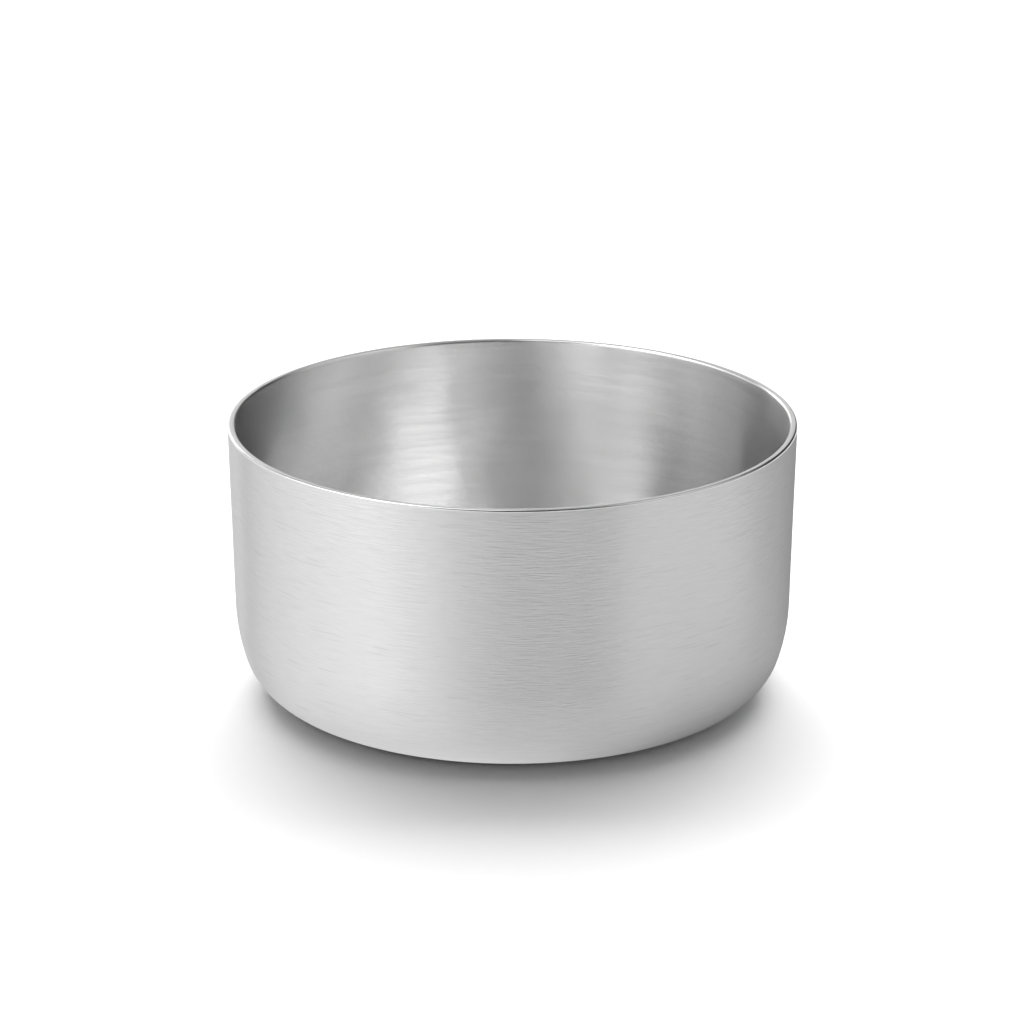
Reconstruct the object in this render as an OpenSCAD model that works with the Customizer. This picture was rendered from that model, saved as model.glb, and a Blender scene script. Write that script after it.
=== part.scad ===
// Puja bowl: a small round offering bowl, drawn in one piece from a disc of sheet metal.
// Millimetres. The bowl stands on z = 0 with its axis on Z, mouth up.

/* [Bowl] */
// Outside diameter across the lip
mouth_d = 75; // [50:0.5:120]
// Height from the table to the top of the lip
height = 37; // [26:0.5:60]
// Thickness of the sheet, the same in the base, the bends and the wall
sheet = 1; // [0.5:0.05:2]

/* [Side] */
// Lean of the straight wall, in degrees from upright
wall_lean = 1.5; // [0.5:0.1:6]
// Outside radius of the belly, the wide bend under the straight wall
belly_r = 24; // [12:0.5:36]
// Outside radius of the corner, the tight bend round the base
corner_r = 8; // [4:0.25:12]
// Lean of the side where the belly runs into the corner, in degrees from upright
corner_lean = 18; // [10:1:35]

/* [Lip] */
// Radius of the polished outer edge of the lip
lip_outer_r = 0.3; // [0.05:0.05:0.9]
// Radius of the polished inner edge of the lip
lip_inner_r = 0.4; // [0.05:0.05:0.9]

/* [Hidden] */
// Fineness of the round surfaces
$fn = 180;
// Least width left flat on top of the lip, between its two rounded edges
lip_flat = 0.1;
// How far a bend's arc stands proud of the straight runs at its ends, so that it always meets them
arc_overrun = 0.0005;

// The lip's edges keep their radii, unless the sheet is too thin to hold both
edge_fit = min(1, (sheet - lip_flat) / (lip_outer_r + lip_inner_r));
outer_edge_r = lip_outer_r * edge_fit;
inner_edge_r = lip_inner_r * edge_fit;

// Outside of the section as straight runs that meet in sharp corners, each point [radius, height].
// The belly's arc and the corner's arc end at the same point of the run between them.
corner_run = corner_r * tan((90 - corner_lean) / 2);
belly_run = belly_r * tan((corner_lean - wall_lean) / 2);
lip_run = outer_edge_r * tan((90 + wall_lean) / 2);
belly_z = (corner_run + belly_run) * cos(corner_lean);
lip_point = [mouth_d / 2 - outer_edge_r + lip_run, height];
belly_point = [lip_point.x - (height - belly_z) * tan(wall_lean), belly_z];
corner_point = [belly_point.x - belly_z * tan(corner_lean), 0];
base_point = [0, 0];
top_point = [0, height];

function unit(v) = v / norm(v);
// Half of the angle between the two runs that meet at a point
function half_angle(before, at, after) = acos(unit(before - at) * unit(after - at)) / 2;
// Direction from a point into the angle between its two runs
function inward(before, at, after) = unit(unit(before - at) + unit(after - at));
// Point inside an angle that is equally far from both of its runs
function inset(before, at, after, distance) =
    at + inward(before, at, after) * distance / sin(half_angle(before, at, after));

// Inside of the section: the same runs, one sheet further in
corner_inside = inset(base_point, corner_point, belly_point, sheet);
belly_inside = inset(corner_point, belly_point, lip_point, sheet);
lip_inside = [lip_point.x - sheet / cos(wall_lean), height];
// The hollow runs on past the lip, so that it opens the mouth cleanly
mouth_above = lip_inside + unit(lip_inside - belly_inside) * sheet;

// What comes off a sharp corner to leave an arc between its two runs
module corner_waste(before, at, after, r) {
    centre = inset(before, at, after, r);
    run = r / tan(half_angle(before, at, after));
    past_one_end = 2 * (at + run * unit(before - at)) - centre;
    past_other_end = 2 * (at + run * unit(after - at)) - centre;
    difference() {
        polygon([centre, past_one_end, 2 * at - centre, past_other_end]);
        translate(centre) circle(r + arc_overrun);
    }
}

// Outline of straight runs with its corners rounded: each corner is [point, radius]
module rounded(corners) {
    count = len(corners);
    difference() {
        polygon([for (corner = corners) corner[0]]);
        for (i = [0 : count - 1])
            if (corners[i][1] > 0)
                corner_waste(corners[(i + count - 1) % count][0], corners[i][0],
                    corners[(i + 1) % count][0], corners[i][1]);
    }
}

// Half of the bowl's section: the outside, less the hollow and the lip's inner edge
module section() {
    difference() {
        rounded([
            [base_point, 0],
            [corner_point, corner_r],
            [belly_point, belly_r],
            [lip_point, outer_edge_r],
            [top_point, 0]
        ]);
        rounded([
            [[0, sheet], 0],
            [corner_inside, corner_r - sheet],
            [belly_inside, belly_r - sheet],
            [mouth_above, 0],
            [[0, mouth_above.y], 0]
        ]);
        corner_waste(belly_inside, lip_inside, lip_point, inner_edge_r);
    }
}

module bowl() {
    color("silver")
        rotate_extrude()
            section();
}

bowl();
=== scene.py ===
# %% [markdown]
# # A puja bowl in satin silver
#
# This lesson dresses a small offering bowl: one sheet of silver-coloured metal, drawn into a cup with a
# flat base, a rounded belly, a near-upright wall and a plain flat lip. The construction model already gives
# its true size and place, so we load that first and build the looks round it, in metres, in the same frame.

# %% Load the construction model
import math

import bmesh
import bpy
from mathutils import Matrix, Vector, noise


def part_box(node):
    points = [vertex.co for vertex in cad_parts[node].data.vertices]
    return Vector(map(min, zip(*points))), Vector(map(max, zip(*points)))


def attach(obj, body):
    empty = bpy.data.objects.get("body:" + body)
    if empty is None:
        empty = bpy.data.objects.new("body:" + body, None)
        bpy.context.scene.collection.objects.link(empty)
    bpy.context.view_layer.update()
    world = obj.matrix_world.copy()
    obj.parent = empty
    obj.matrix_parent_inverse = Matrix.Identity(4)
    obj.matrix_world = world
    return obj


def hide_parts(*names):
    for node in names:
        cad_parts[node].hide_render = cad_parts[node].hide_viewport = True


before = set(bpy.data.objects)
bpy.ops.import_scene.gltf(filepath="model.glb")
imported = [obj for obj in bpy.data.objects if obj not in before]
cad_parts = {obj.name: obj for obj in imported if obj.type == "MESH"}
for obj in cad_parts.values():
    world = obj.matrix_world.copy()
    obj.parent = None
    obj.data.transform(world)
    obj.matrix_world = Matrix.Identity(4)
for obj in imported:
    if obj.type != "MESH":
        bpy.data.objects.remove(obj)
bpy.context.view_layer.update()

MM = 0.001

# %% [markdown]
# ## Sizes of the section
#
# A drawn bowl is round all the way, so one half of its section says everything about its shape. We could
# push and pull a cylinder until it looks right, but a section made of straight runs with rounded corners
# keeps every bend a true arc. The height and the mouth come from the construction model. The bends carry
# the same names and sizes as there, so that the two shapes agree.

# %% Sizes of the section
bowl_low, bowl_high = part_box("bowl")
height = bowl_high.z - bowl_low.z
mouth_r = (bowl_high.x - bowl_low.x) / 2
sheet = 1.0 * MM
wall_lean = math.radians(1.5)
belly_r = 24.0 * MM
corner_r = 8.0 * MM
corner_lean = math.radians(18.0)
lip_outer_r = 0.3 * MM
lip_inner_r = 0.4 * MM
print(f"mouth {2 * mouth_r / MM:.2f} mm across, bowl {height / MM:.2f} mm high, sheet {sheet / MM:.2f} mm")

# %% [markdown]
# ## Rounding a corner
#
# Sheet metal can't turn on a knife edge, so wherever two straight runs meet there is an arc that touches
# both. Blender's bevel could round such corners afterwards. Working the arcs out first gives exact radii,
# and the same small helper serves the wide belly, the tight corner at the base and the fine edges of the
# lip.


# %% Helpers for rounded corners
def half_angle(before, at, after):
    """Half of the angle between the two runs that meet at a point."""
    return (before - at).angle(after - at) / 2


def inset(before, at, after, distance):
    """The point inside an angle that is equally far from both of its runs."""
    inward = ((before - at).normalized() + (after - at).normalized()).normalized()
    return at + inward * (distance / math.sin(half_angle(before, at, after)))


def arc(before, at, after, radius, steps):
    """Points of the arc that rounds the corner at a point, from the run before it to the run after it."""
    half = half_angle(before, at, after)
    centre = inset(before, at, after, radius)
    start = at + (before - at).normalized() * (radius / math.tan(half)) - centre
    left_turn = (at - before).cross(after - at) > 0
    sweep = (math.pi - 2 * half) * (1 if left_turn else -1)
    return [centre + Matrix.Rotation(sweep * step / steps, 2) @ start for step in range(steps + 1)]


quarter = arc(Vector((0, 0)), Vector((2, 0)), Vector((2, 2)), 1, 2)
print("a quarter arc runs through", [tuple(round(part, 3) for part in point) for point in quarter])

# %% [markdown]
# ## Where the straight runs meet
#
# Before its corners are rounded, the outside of the section is three straight runs: the flat base, a short
# lean under the belly and the tall wall. We could read their meeting points off a drawing. Working them out
# from the radii and leans keeps the belly's arc and the corner's arc just touching. The inside is the
# outside moved in by one sheet, because a press stretches the metal but leaves it almost equally thick.

# %% Points of the section
corner_run = corner_r * math.tan((math.pi / 2 - corner_lean) / 2)
belly_run = belly_r * math.tan((corner_lean - wall_lean) / 2)
lip_run = lip_outer_r * math.tan((math.pi / 2 + wall_lean) / 2)
belly_z = (corner_run + belly_run) * math.cos(corner_lean)

base_centre = Vector((0, 0))
top_centre = Vector((0, height))
floor_centre = Vector((0, sheet))
lip_point = Vector((mouth_r - lip_outer_r + lip_run, height))
belly_point = Vector((lip_point.x - (height - belly_z) * math.tan(wall_lean), belly_z))
corner_point = Vector((belly_point.x - belly_z * math.tan(corner_lean), 0))
lip_inside = lip_point - Vector((sheet / math.cos(wall_lean), 0))
belly_inside = inset(corner_point, belly_point, lip_point, sheet)
corner_inside = inset(base_centre, corner_point, belly_point, sheet)
print(f"the runs meet {corner_point.x / MM:.1f} mm out on the base and {belly_z / MM:.1f} mm up the side")

# %% [markdown]
# ## Drawing the section
#
# The outline goes out along the base, up the outside, over the lip and back down the inside. It could be a
# curve with handles, but then the bends would only be close to arcs. A list of points on true arcs keeps
# the radii exact.

# %% Draw the section
BEND_STEPS = 24
EDGE_STEPS = 8
section = [
    base_centre,
    *arc(base_centre, corner_point, belly_point, corner_r, BEND_STEPS),
    *arc(corner_point, belly_point, lip_point, belly_r, BEND_STEPS),
    *arc(belly_point, lip_point, top_centre, lip_outer_r, EDGE_STEPS),
    *arc(lip_point, lip_inside, belly_inside, lip_inner_r, EDGE_STEPS),
    *arc(lip_inside, belly_inside, corner_inside, belly_r - sheet, BEND_STEPS),
    *arc(belly_inside, corner_inside, floor_centre, corner_r - sheet, BEND_STEPS),
    floor_centre,
]
print(f"section of {len(section)} points, flat base {2 * section[1].x / MM:.1f} mm across")

# %% [markdown]
# ## Rings for the wall
#
# The straight wall is a single long run in the section, and with no points on it, it could never waver as a
# real wall does. Subdividing the finished mesh would split the fine bends too. Splitting the section by
# length leaves those as they are.


# %% Split long runs into rings
RING_STEP = 0.8 * MM


def with_rings(points, longest):
    """The same outline, with each run longer than the given length split into equal parts."""
    filled = [points[0]]
    for point in points[1:]:
        start = filled[-1]
        run = point - start
        parts = math.ceil(run.length / longest)
        filled += [start + run * (part / parts) for part in range(1, parts + 1)]
    return filled


rings = with_rings(section, RING_STEP)
print(f"{len(section)} points became {len(rings)} rings")

# %% [markdown]
# ## Spinning the sheet
#
# A bowl like this is turned against a tool, or drawn through a round die, so it is the same all round.
# Spinning the section once round the axis gives the whole of it. A Screw modifier would do the same;
# bmesh's own spin leaves plain faces that we can still touch. The points on the axis fall together, so they
# are merged.

# %% Spin the section
STEPS_ROUND = 360
SAME_POINT = 0.0001 * MM
spun = bmesh.new()
outline = [spun.verts.new((point.x, 0, point.y)) for point in rings]
edges = [spun.edges.new(pair) for pair in zip(outline, outline[1:])]
bmesh.ops.spin(
    spun,
    geom=outline + edges,
    cent=(0, 0, 0),
    axis=(0, 0, 1),
    angle=2 * math.pi,
    steps=STEPS_ROUND,
    use_merge=True,
)
bmesh.ops.remove_doubles(spun, verts=spun.verts, dist=SAME_POINT)
bmesh.ops.recalc_face_normals(spun, faces=spun.faces)
print(f"spun {len(rings)} rings into {len(spun.faces)} faces")

# %% [markdown]
# ## Three finishes on one sheet
#
# The outside was brushed on a lathe, the inside was rubbed to a softer satin, and the lip was polished on
# its flat top and its outer edge. These are finishes of one piece of metal, so we don't cut the mesh apart.
# Each face is given the number of the finish it will wear, by where it is and which way it faces.

# %% Sort the faces by finish
OUTSIDE, LIP, INSIDE = range(3)
TOP_FACING = 0.9
for face in spun.faces:
    face.smooth = True
    centre = face.calc_center_median()
    faces_out = face.normal.x * centre.x + face.normal.y * centre.y > 0
    polished_way = faces_out or face.normal.z > TOP_FACING
    if polished_way and centre.z > height - lip_outer_r:
        face.material_index = LIP
    elif face.normal.z < 0:
        face.material_index = OUTSIDE
    else:
        face.material_index = INSIDE
counts = [sum(face.material_index == finish for face in spun.faces) for finish in (OUTSIDE, LIP, INSIDE)]
print(f"faces outside {counts[OUTSIDE]}, on the lip {counts[LIP]}, inside {counts[INSIDE]}")

# %% [markdown]
# ## A hand-finished wall
#
# A wall that was pressed and then finished by hand is never a perfect cone. It wavers by a few hundredths
# of a millimetre outside, and by about a tenth inside, where it was rubbed more. That is too little to see
# in the outline, yet enough to make the reflected lamps waver with it. A bump map could fake this, but a
# wavering wall is shape, so we move the points. The base and the lip stay true.

# %% Press in a slight unevenness
OUTSIDE_WAVE = (14 * MM, 0.04 * MM)
INSIDE_WAVE = (9 * MM, 0.18 * MM)
KEPT_AT_ENDS = 4 * MM
FADE_LENGTH = 6 * MM


def freedom(z):
    """How freely the sheet may waver at a height: not near the base or the lip, and fully between them."""
    from_base = (z - KEPT_AT_ENDS) / FADE_LENGTH
    from_lip = (height - KEPT_AT_ENDS - z) / FADE_LENGTH
    return max(0.0, min(1.0, from_base, from_lip))


spun.normal_update()
largest = 0.0
for point in spun.verts:
    loose = freedom(point.co.z)
    if loose > 0:
        out = Vector((point.co.x, point.co.y, 0)).normalized()
        length, depth = OUTSIDE_WAVE if point.normal.dot(out) > 0 else INSIDE_WAVE
        spot = out * mouth_r + Vector((0, 0, point.co.z))
        push = depth * loose * noise.noise(spot / length)
        point.co += out * push
        largest = max(largest, abs(push))
print(f"the wall wavers by up to {largest / MM:.3f} mm")

# %% [markdown]
# ## The bowl as a piece
#
# The spun sheet becomes one object. The plain solid could be dressed as it stands, but the spun sheet is
# divided much finer, which smooth reflections need. So it takes the solid's place in the construction
# model and moves with the same body.

# %% Keep the bowl
bowl_mesh = bpy.data.meshes.new("silver_bowl")
spun.to_mesh(bowl_mesh)
spun.free()
bowl = bpy.data.objects.new("silver_bowl", bowl_mesh)
bpy.context.scene.collection.objects.link(bowl)
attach(bowl, "root")
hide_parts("bowl")
print(f"{bowl.name} has {len(bowl_mesh.vertices)} points")

# %% [markdown]
# ## Building finishes from nodes
#
# Every finish below is a small tree of nodes. Such trees could be drawn by hand in the shader editor, but
# code can be read and changed in one place. One helper adds a node and connects it, another starts a
# finish, a third takes a value from one span to another, and a fourth multiplies. With these the finishes
# stay short.


# %% Helpers for finishes
def put(tree, kind, inputs=None, **settings):
    """Adds one node, with settings on it and values or links on its inputs."""
    made = tree.nodes.new(kind)
    for name, value in settings.items():
        setattr(made, name, value)
    for name, value in (inputs or {}).items():
        if isinstance(value, bpy.types.NodeSocket):
            tree.links.new(value, made.inputs[name])
        else:
            made.inputs[name].default_value = value
    return made


def new_finish(name):
    """A new finish, its tree of nodes and its shader."""
    finish = bpy.data.materials.new(name)
    finish.use_nodes = True
    return finish, finish.node_tree, finish.node_tree.nodes["Principled BSDF"]


def between(tree, value, low, high, first, last):
    """The value, taken from one span to another and held at its ends."""
    span = {"Value": value, "From Min": low, "From Max": high, "To Min": first, "To Max": last}
    return put(tree, "ShaderNodeMapRange", span, interpolation_type="SMOOTHSTEP").outputs["Result"]


def times(tree, value, factor):
    """One value multiplied by another."""
    return put(tree, "ShaderNodeMath", {0: value, 1: factor}, operation="MULTIPLY").outputs[0]


print("helpers ready:", ", ".join(helper.__name__ for helper in (put, new_finish, between, times)))

# %% [markdown]
# ## Strokes that run round the bowl
#
# A brush held against a turning bowl leaves strokes that run round it. Noise stretched far along the stroke
# and squeezed across it looks just like that. The bowl is round, so we stretch the noise in X and Y and
# squeeze it along the section, for which the distance from the axis plus the height is good enough. A
# second, slow noise lets the strokes drift up and down a little, as a hand does.


# %% Helper for strokes
DRIFT_LENGTH = 12 * MM


def strokes(tree, length, pitch, drift, detail):
    """Noise drawn out into strokes of about this length and pitch, which drift by about this much."""
    place = put(tree, "ShaderNodeTexCoord").outputs["Object"]
    split = put(tree, "ShaderNodeSeparateXYZ", {0: place}).outputs
    level = put(tree, "ShaderNodeCombineXYZ", {"X": split["X"], "Y": split["Y"]}).outputs[0]
    out = put(tree, "ShaderNodeVectorMath", {0: level}, operation="LENGTH").outputs["Value"]
    along = put(tree, "ShaderNodeMath", {0: out, 1: split["Z"]}, operation="ADD").outputs[0]
    slow_noise = {"Vector": place, "Scale": 1 / DRIFT_LENGTH, "Detail": 0.0}
    slow = put(tree, "ShaderNodeTexNoise", slow_noise).outputs["Fac"]
    drifted = {0: slow, 1: 2 * drift, 2: along}
    along = put(tree, "ShaderNodeMath", drifted, operation="MULTIPLY_ADD").outputs[0]
    spread = put(tree, "ShaderNodeCombineXYZ", {"X": split["X"], "Y": split["Y"], "Z": along}).outputs[0]
    scale = (1 / length, 1 / length, 1 / pitch)
    stretched = put(tree, "ShaderNodeVectorMath", {0: spread, 1: scale}, operation="MULTIPLY").outputs[0]
    drawn_out = {"Vector": stretched, "Scale": 1.0, "Detail": detail}
    return put(tree, "ShaderNodeTexNoise", drawn_out).outputs["Fac"]


print(f"strokes drift over about {DRIFT_LENGTH / MM:.0f} mm")

# %% [markdown]
# ## Strokes with depth
#
# A brush cuts only a few hundredths of a millimetre deep. Moving points for every stroke would take
# millions of faces. A bump tilts the reflected light instead and leaves the outline alone, which suits
# something so shallow.


# %% Helper for depth
def raised(tree, shader, pattern, depth):
    """Lets a pattern stand out of the surface by about this depth."""
    bump = put(tree, "ShaderNodeBump", {"Strength": 1.0, "Distance": depth, "Height": pattern})
    tree.links.new(bump.outputs["Normal"], shader.inputs["Normal"])


print("helper ready:", raised.__name__)

# %% [markdown]
# ## Metal that was brushed round
#
# Brushed metal is rough across its strokes and much smoother along them, so a lamp's reflection spreads
# across the strokes. Thousands of real grooves would do that, but the shader has a number for it, its
# anisotropy. The Tangent node says that the strokes run round the axis, and a quarter turn lays the spread
# across them.


# %% Helper for brushed metal
QUARTER_TURN = 0.25


def brushed_round(tree, shader, roughness, streak):
    """Spreads reflections across strokes that run round the axis, so that lamps show as upright streaks."""
    shader.inputs["Metallic"].default_value = 1.0
    shader.inputs["Roughness"].default_value = roughness
    shader.inputs["Anisotropic"].default_value = streak
    shader.inputs["Anisotropic Rotation"].default_value = QUARTER_TURN
    round_axis = put(tree, "ShaderNodeTangent", direction_type="RADIAL", axis="Z")
    tree.links.new(round_axis.outputs["Tangent"], shader.inputs["Tangent"])


print(f"streaks are turned by {360 * QUARTER_TURN:.0f} degrees")

# %% [markdown]
# ## The brushed outside
#
# On the satin outside each lamp shows as a soft upright band, which strong anisotropy gives. Fine strokes
# tint the metal a little, and a few deeper scratches are painted darker, as painted shade in their grooves.
# An image texture could show both, but noise never repeats and has no seam. At a glancing angle strokes
# hide one another, so the edge tint is lower than a mirror's.

# %% Brushed outside
EDGE_TINT = (0.5, 0.5, 0.5, 1)
satin, tree, shader = new_finish("brushed_outside")
hairlines = strokes(tree, length=2.6 * MM, pitch=0.22 * MM, drift=0.25 * MM, detail=3.0)
scratches = strokes(tree, length=5 * MM, pitch=0.18 * MM, drift=0.5 * MM, detail=0.0)
grain = between(tree, hairlines, low=0.2, high=0.8, first=0.86, last=0.9)
# painted shade: the deeper scratches are darkened in the base colour, standing in for shade in their
# grooves
scratch_shade = between(tree, scratches, low=0.66, high=0.8, first=1.0, last=0.93)
tone = times(tree, grain, scratch_shade)
tree.links.new(tone, shader.inputs["Base Color"])
brushed_round(tree, shader, roughness=0.42, streak=1.0)
shader.inputs["Specular Tint"].default_value = EDGE_TINT
bowl_mesh.materials.append(satin)
print(f"{satin.name}: {len(tree.nodes)} nodes")

# %% [markdown]
# ## Patches of harder brushing
#
# A hand never presses evenly. In front the strokes are deep in the middle of the bowl and faint at the
# sides. The strokes could be painted stronger there, but a slow noise does it all the way round. It says
# how hard the brush was pressed, and the strokes are cut in with a bump of that depth. The noise has a
# fourth number, which picks one pattern out of many.

# %% Patches of harder brushing
PATCH_LENGTH = 25 * MM
PATCH_CHOICE = 18.0
place = put(tree, "ShaderNodeTexCoord").outputs["Object"]
slow_noise = {"Vector": place, "W": PATCH_CHOICE, "Scale": 1 / PATCH_LENGTH, "Detail": 0.0}
patches = put(tree, "ShaderNodeTexNoise", slow_noise, noise_dimensions="4D").outputs["Fac"]
pressure = between(tree, patches, low=0.38, high=0.62, first=0.15, last=1.0)
pressed = times(tree, hairlines, pressure)
raised(tree, shader, pressed, depth=0.09 * MM)
print(f"{satin.name}: {len(tree.nodes)} nodes, patches of about {PATCH_LENGTH / MM:.0f} mm")

# %% [markdown]
# ## The polished lip
#
# The rim was trimmed, filed round and polished, so it shines more than the wall and draws bright and dark
# lines along its edges. A separate ring could carry the polish, but the lip is the sheet's own edge, so it
# only gets a finish of low roughness. A faint bump breaks the lines here and there, as small dents do on a
# bowl in use, and a few short nicks are painted darker in the base colour, as painted shade.

# %% Polished lip
LIP_ROUGHNESS = 0.22
polished, tree, shader = new_finish("polished_lip")
dents = strokes(tree, length=4 * MM, pitch=0.6 * MM, drift=0.2 * MM, detail=1.0)
raised(tree, shader, dents, depth=0.06 * MM)
nick_shade = strokes(tree, length=3 * MM, pitch=0.2 * MM, drift=0.1 * MM, detail=0.0)
# painted shade: short nicks darken the lip's base colour
tone = between(tree, nick_shade, low=0.72, high=0.82, first=0.82, last=0.68)
tree.links.new(tone, shader.inputs["Base Color"])
shader.inputs["Metallic"].default_value = 1.0
shader.inputs["Roughness"].default_value = LIP_ROUGHNESS
bowl_mesh.materials.append(polished)
print(f"{polished.name}: {len(tree.nodes)} nodes")

# %% [markdown]
# ## The satin inside
#
# The inside was rubbed with a pad. It is smoother and brighter than the outside, and its strokes are wider
# and longer, like smears. The same stroke helper makes them, only with larger sizes. The lamps shine from
# one side of the bowl to the other, so two walls mirror them in turn and every small waver shows.

# %% Satin inside
soft, tree, shader = new_finish("satin_inside")
smears = strokes(tree, length=12 * MM, pitch=1.0 * MM, drift=0.3 * MM, detail=2.0)
tone = between(tree, smears, low=0.2, high=0.8, first=0.93, last=0.99)
tree.links.new(tone, shader.inputs["Base Color"])
raised(tree, shader, smears, depth=0.05 * MM)
brushed_round(tree, shader, roughness=0.26, streak=1.0)
bowl_mesh.materials.append(soft)
print(f"{soft.name}: {len(tree.nodes)} nodes")

# %% [markdown]
# ## The white table
#
# The bowl stands on a wide white table. A paper sweep with a curved back would do too, but from this high
# up only the level part shows, so a big plane is all it takes. It lies a hair above the bottom of the base,
# because two faces at the very same height flicker where they meet.

# %% Table
TABLE_HALF = 3.0
TABLE_RISE = 0.005 * MM
SIDES = ((-1, -1), (1, -1), (1, 1), (-1, 1))
table_mesh = bpy.data.meshes.new("table")
table_corners = [(x * TABLE_HALF, y * TABLE_HALF, TABLE_RISE) for x, y in SIDES]
table_mesh.from_pydata(table_corners, [], [(0, 1, 2, 3)])
table = bpy.data.objects.new("table", table_mesh)
bpy.context.scene.collection.objects.link(table)
print(f"table {2 * TABLE_HALF:.0f} m wide")

# %% [markdown]
# ## White for the camera
#
# In the photograph the table is plain white, apart from the bowl's shadow. Turning its lamps up would make
# it white, but the metal mirrors the table and would get brighter too. The Light Path node tells a material
# which kind of ray is looking at it. For the camera's rays alone the paper is lifted, which keeps its
# shadow.


# %% Paper for the camera
TABLE_TONE = 0.9
CAMERA_LIFT = 1.42


def either(tree, share, first, last):
    """A number that goes from the first value to the last as the share goes from 0 to 1."""
    # The Mix node keeps its two plain numbers at inputs 2 and 3.
    return put(tree, "ShaderNodeMix", {0: share, 2: first, 3: last}).outputs[0]


white, tree, shader = new_finish("white_table")
seen = put(tree, "ShaderNodeLightPath").outputs
paper_tone = either(tree, seen["Is Camera Ray"], TABLE_TONE, TABLE_TONE * CAMERA_LIFT)
paper = put(tree, "ShaderNodeBsdfDiffuse", {"Color": paper_tone}).outputs[0]
print(f"{white.name}: {TABLE_TONE} under the lamps, {TABLE_TONE * CAMERA_LIFT:.2f} for the camera")

# %% [markdown]
# ## Pale in the metal
#
# A studio has white paper all round, and the metal mirrors it as an even pale glow. More lamps could light
# such paper, but a plain glow is easier to set. It has one darker patch at the right of the bowl, where the
# bowl stands in the way of the lamps at the left.

# %% Glow in the metal
PALE_TONE = 1.0
SHADE_TONE = 0.2
SHADE_CENTRE = (24 * MM, -12 * MM, 0)
SHADE_INNER = 8 * MM
SHADE_OUTER = 36 * MM
place = put(tree, "ShaderNodeTexCoord").outputs["Object"]
away = put(tree, "ShaderNodeVectorMath", {0: place, 1: SHADE_CENTRE}, operation="DISTANCE").outputs["Value"]
pale_tone = between(tree, away, low=SHADE_INNER, high=SHADE_OUTER, first=SHADE_TONE, last=PALE_TONE)
pale = put(tree, "ShaderNodeEmission", {"Strength": pale_tone}).outputs[0]
print(f"the glow goes from {SHADE_TONE} in the shade to {PALE_TONE} beyond {SHADE_OUTER / MM:.0f} mm")

# %% [markdown]
# ## Paper and glow together
#
# Mirrored rays see mostly the glow, and all other rays see the paper. Two tables, one for each, could do
# the same, but one finish that mixes both is simpler. The glow is left out after a matt bounce, so that it
# doesn't fill the shadow under the bowl.

# %% Mix the table finish
PALE_SHARE = 0.78
UNDER_ONE_BOUNCE = 0.5
mirrors = {0: seen["Is Glossy Ray"], 1: seen["Is Transmission Ray"]}
mirrored = put(tree, "ShaderNodeMath", mirrors, operation="MAXIMUM").outputs[0]
matt_bounces = {0: seen["Diffuse Depth"], 1: UNDER_ONE_BOUNCE}
direct = put(tree, "ShaderNodeMath", matt_bounces, operation="LESS_THAN").outputs[0]
counted = times(tree, mirrored, direct)
share = times(tree, counted, PALE_SHARE)
surface = put(tree, "ShaderNodeMixShader", {0: share, 1: paper, 2: pale}).outputs[0]
tree.links.new(surface, tree.nodes["Material Output"].inputs["Surface"])
tree.nodes.remove(shader)
table_mesh.materials.append(white)
print(f"{white.name}: {len(tree.nodes)} nodes, {PALE_SHARE:.0%} glow in the metal")

# %% [markdown]
# ## Lamps that light one thing
#
# Product photographers keep the side lamps off the table with black cards, and light the table by itself.
# Real cards would show in the metal. Blender's light linking does their work unseen: a lamp with a receiver
# collection lights only what is in it.


# %% Collections for the lamps
def lit_only(piece):
    """A collection that limits a lamp's light to one piece."""
    group = bpy.data.collections.new(piece.name + "_only")
    group.objects.link(piece)
    return group


on_bowl = lit_only(bowl)
on_table = lit_only(table)
print("lamps may light", on_bowl.name, "or", on_table.name)

# %% [markdown]
# ## Soft boxes
#
# A soft box is a flat, evenly bright rectangle, and in metal its outline shows. Glowing planes would look
# the same but give noisier light, so every lamp here is a rectangular area lamp. Its energy follows its
# area, so that a strength says how bright it looks, whatever its size.


# %% Helper for soft boxes
def box_lamp(name, width, tall, strength, place, faces, lights):
    """A rectangular lamp of a given brightness, which lights one piece only."""
    lamp = bpy.data.lights.new(name, "AREA")
    lamp.shape = "RECTANGLE"
    lamp.size = width
    lamp.size_y = tall
    lamp.energy = strength * math.pi * width * tall
    holder = bpy.data.objects.new(name, lamp)
    bpy.context.scene.collection.objects.link(holder)
    holder.location = place
    holder.rotation_euler = faces.to_track_quat("-Z", "Y").to_euler()
    holder.visible_camera = False
    holder.light_linking.receiver_collection = lights
    print(f"{name}: {width:.2f} by {tall:.2f} m, {lamp.energy:.1f} W")


print("helper ready:", box_lamp.__name__)

# %% [markdown]
# ## Placing the soft boxes
#
# In a round bowl a lamp's bearing decides where its reflection lies. So the lamps at the sides are placed
# by the two bearings between which they stand, counted from the camera's side: left is below zero. Plain
# coordinates would work, but wouldn't show that. A lamp overhead is placed by its four edges.


# %% Helpers for placing soft boxes
SIDE_DISTANCE = 0.8
DOWN = Vector((0, 0, -1))


def side_box(name, first, last, bottom, top, strength, lights):
    """An upright lamp beside the table, between two bearings from the camera's side, in degrees."""
    bearing = math.radians((first + last) / 2)
    away = Vector((math.sin(bearing), -math.cos(bearing), 0))
    width = 2 * SIDE_DISTANCE * math.tan(math.radians(last - first) / 2)
    place = away * SIDE_DISTANCE + Vector((0, 0, (bottom + top) / 2))
    box_lamp(name, width, top - bottom, strength, place, -away, lights)


def top_box(name, left, right, front, back, above, strength, lights):
    """A level lamp over the table."""
    place = Vector(((left + right) / 2, (front + back) / 2, above))
    box_lamp(name, right - left, back - front, strength, place, DOWN, lights)


print(f"side lamps stand {SIDE_DISTANCE} m from the bowl")

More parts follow.
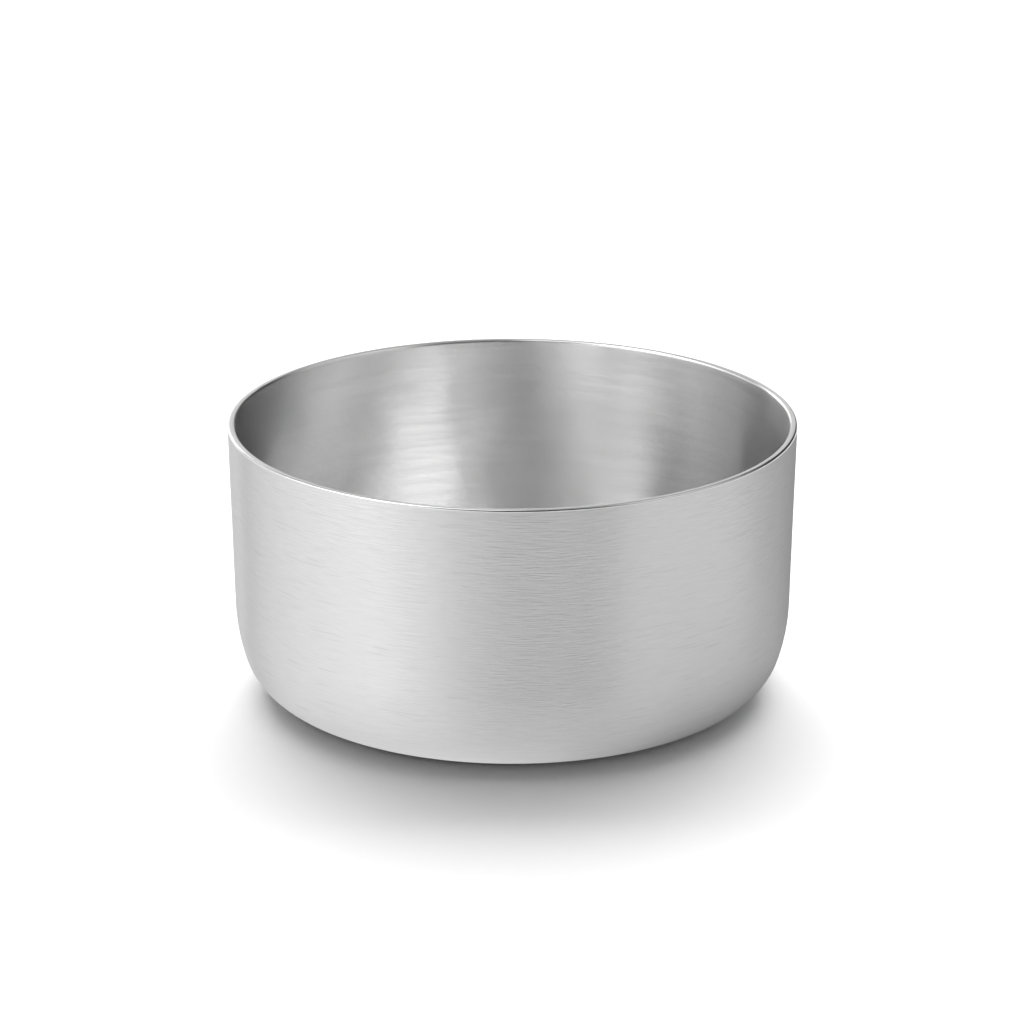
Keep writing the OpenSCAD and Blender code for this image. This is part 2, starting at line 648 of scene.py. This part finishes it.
# %% [markdown]
# ## Lamps on the bowl
#
# A wall of soft boxes at the left makes the broad bright band on that side and the bright patch inside. Two
# boxes at the right make the fainter band there, and the gap between left and right is the darker middle of
# the wall. A narrow card in front brightens the back of the inside, and a low one keeps the middle from
# going dull. Two white cards behind the bowl show in the lip and at the left edge, and a lamp overhead adds
# a little at the left. One picture of a studio could light the bowl as well, but each of these lamps can be
# moved by itself.

# %% Lamps on the bowl
side_box("left_front", first=-72, last=-24, bottom=0.1, top=0.5, strength=0.82, lights=on_bowl)
side_box("left_back", first=-125, last=-72, bottom=0.1, top=0.6, strength=0.68, lights=on_bowl)
side_box("left_high", first=-116, last=-56, bottom=0.6, top=2.3, strength=1.9, lights=on_bowl)
side_box("front_card", first=-24, last=-8, bottom=0.1, top=0.45, strength=0.45, lights=on_bowl)
side_box("front_low", first=-38, last=26, bottom=0.0, top=0.13, strength=0.75, lights=on_bowl)
side_box("right", first=50, last=78, bottom=0.45, top=1.4, strength=0.46, lights=on_bowl)
side_box("right_back", first=78, last=108, bottom=0.45, top=1.4, strength=0.36, lights=on_bowl)
side_box("back_left", first=-168, last=-135, bottom=0.0, top=0.5, strength=0.95, lights=on_bowl)
side_box("back", first=168, last=192, bottom=0.0, top=0.5, strength=0.35, lights=on_bowl)
over_left = {"left": -0.7, "right": 0.0, "front": -0.5, "back": 0.5}
top_box("top_left", **over_left, above=1.2, strength=0.95, lights=on_bowl)

# %% [markdown]
# ## Lamps on the table
#
# The shadow lies in front of the bowl, so most of the table's light comes from behind. One lamp could do it
# all, but its shadow would be too dark close to the bowl, so a weaker lamp overhead fills it a little.

# %% Lamps on the table
behind_bowl = {"left": -0.6, "right": 0.6, "front": 0.2, "back": 1.6}
top_box("table_back", **behind_bowl, above=0.8, strength=4.0, lights=on_table)
over_bowl = {"left": -0.5, "right": 0.5, "front": -0.2, "back": 0.2}
top_box("table_over", **over_bowl, above=0.8, strength=1.2, lights=on_table)

# %% [markdown]
# ## Dark corners in the room
#
# A studio isn't bright all round, and metal shows its dark corners as dark lines. A black card could stand
# in each corner, but it would also block the lamps. Darkening the room itself near a direction doesn't.


# %% Helper for dark corners
DARK_SHARE = 0.08


def dark_corner(tree, aim, bearing, rise, inner, outer):
    """How much of the room's tone is left near a direction, given in degrees: little in its middle."""
    turn = math.radians(bearing)
    up = math.radians(rise)
    towards = (math.cos(up) * math.sin(turn), -math.cos(up) * math.cos(turn), math.sin(up))
    near = put(tree, "ShaderNodeVectorMath", {0: aim, 1: towards}, operation="DOT_PRODUCT").outputs["Value"]
    far_away = math.cos(math.radians(outer))
    close_by = math.cos(math.radians(inner))
    return between(tree, near, low=far_away, high=close_by, first=1.0, last=DARK_SHARE)


print(f"a dark corner keeps {DARK_SHARE:.0%} of the room's tone")

# %% [markdown]
# ## The room
#
# Metal shows whatever is round it, so the room counts as much as the lamps. A picture of a real studio
# could go here, but a plain grey is easier to set. It is a middle grey in the metal and a dim fill on the
# table, and it has two dark corners. One is high up behind the camera and draws the thin dark line along
# the front of the lip. The other is behind the bowl at the right and darkens the lip's outer edge there. To
# the camera itself the room is plain white.

# %% Room
ROOM_LIGHT = 0.12
ROOM_IN_METAL = 0.4
ROOM_FOR_CAMERA = 1.0
WHITE = (1, 1, 1, 1)
room = bpy.data.worlds.new("room")
bpy.context.scene.world = room
room.use_nodes = True
tree = room.node_tree
seen = put(tree, "ShaderNodeLightPath").outputs
aim = put(tree, "ShaderNodeTexCoord").outputs["Generated"]
behind_camera = dark_corner(tree, aim, bearing=4, rise=36, inner=25, outer=45)
right_back = dark_corner(tree, aim, bearing=140, rise=10, inner=15, outer=40)
both = times(tree, behind_camera, right_back)
metal_room = times(tree, both, ROOM_IN_METAL)
dim = either(tree, seen["Is Glossy Ray"], ROOM_LIGHT, metal_room)
shown = either(tree, seen["Is Camera Ray"], dim, ROOM_FOR_CAMERA)
background = tree.nodes["Background"]
background.inputs["Color"].default_value = WHITE
tree.links.new(shown, background.inputs["Strength"])
print(f"room: {ROOM_LIGHT} on the table, {ROOM_IN_METAL} in the metal")

# %% [markdown]
# ## The camera
#
# The photograph looks down at about 19 degrees with a long lens, which we can tell from how round the mouth
# looks and how little the base shrinks. The camera could be moved by eye until the bowl fits. A tilt and a
# distance found from the outline put our bowl in the same place at once.

# %% Camera
CAMERA_DISTANCE = 0.65
CAMERA_TILT = math.radians(19.136)
CAMERA_SHIFT = -0.06 * MM
LOOK_UP = math.radians(0.469)
LENS = 171.9
SENSOR = 36.0
camera = bpy.data.objects.new("camera", bpy.data.cameras.new("camera"))
bpy.context.scene.collection.objects.link(camera)
camera.data.lens = LENS
camera.data.sensor_width = SENSOR
middle = Vector((CAMERA_SHIFT, 0, height / 2))
camera.location = middle + CAMERA_DISTANCE * Vector((0, -math.cos(CAMERA_TILT), math.sin(CAMERA_TILT)))
camera.rotation_euler = (math.pi / 2 - CAMERA_TILT + LOOK_UP, 0, 0)
bpy.context.scene.camera = camera
bpy.context.scene.view_settings.view_transform = "Standard"
print("camera at", [round(part, 3) for part in camera.location])
